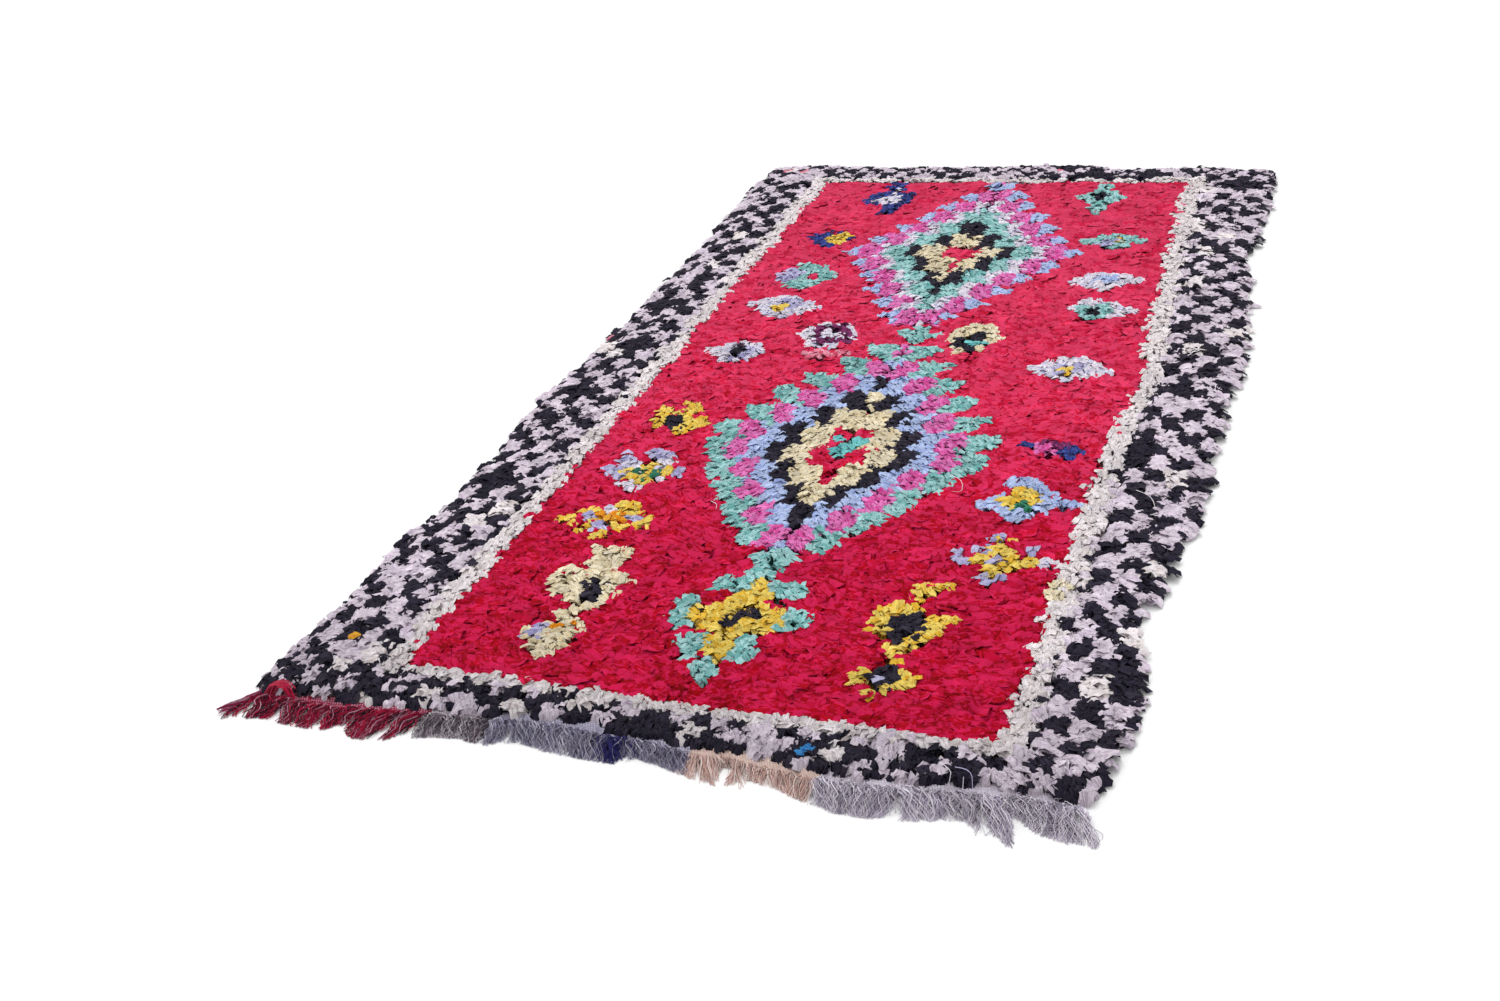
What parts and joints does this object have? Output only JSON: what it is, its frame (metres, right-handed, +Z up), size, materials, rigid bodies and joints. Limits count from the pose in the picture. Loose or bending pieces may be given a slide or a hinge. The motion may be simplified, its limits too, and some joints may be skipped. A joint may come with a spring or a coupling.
{
  "type": "boucherouite rug",
  "caption": "Flat handmade rug of knotted rag strips with a lozenge pattern in a checked border, and a yarn fringe at one end, for laying on a floor.",
  "frame": {"origin": "middle of the rug's flat underside, on the floor", "axes": "+Y along the rug's length, away from its fringed end; +X across it, to the right seen from the fringed end; +Z up, out of the pile"},
  "size_m": [1.4632, 2.5799, 0.0282],
  "materials": {
    "rag_pile": "matte torn cotton jersey rags",
    "raspberry_yarn": "matte yarn",
    "boucle_yarn": "looped matte yarn",
    "slate_yarn": "fuzzy matte yarn",
    "tan_yarn": "matte yarn",
    "grey_yarn": "fuzzy matte yarn"
  },
  "bodies": {
    "root": {"pile_slab": "rag_pile", "fringe_raspberry": "raspberry_yarn", "fringe_boucle": "boucle_yarn", "fringe_slate": "slate_yarn", "fringe_tan": "tan_yarn", "fringe_grey": "grey_yarn"}
  },
  "joints": []
}
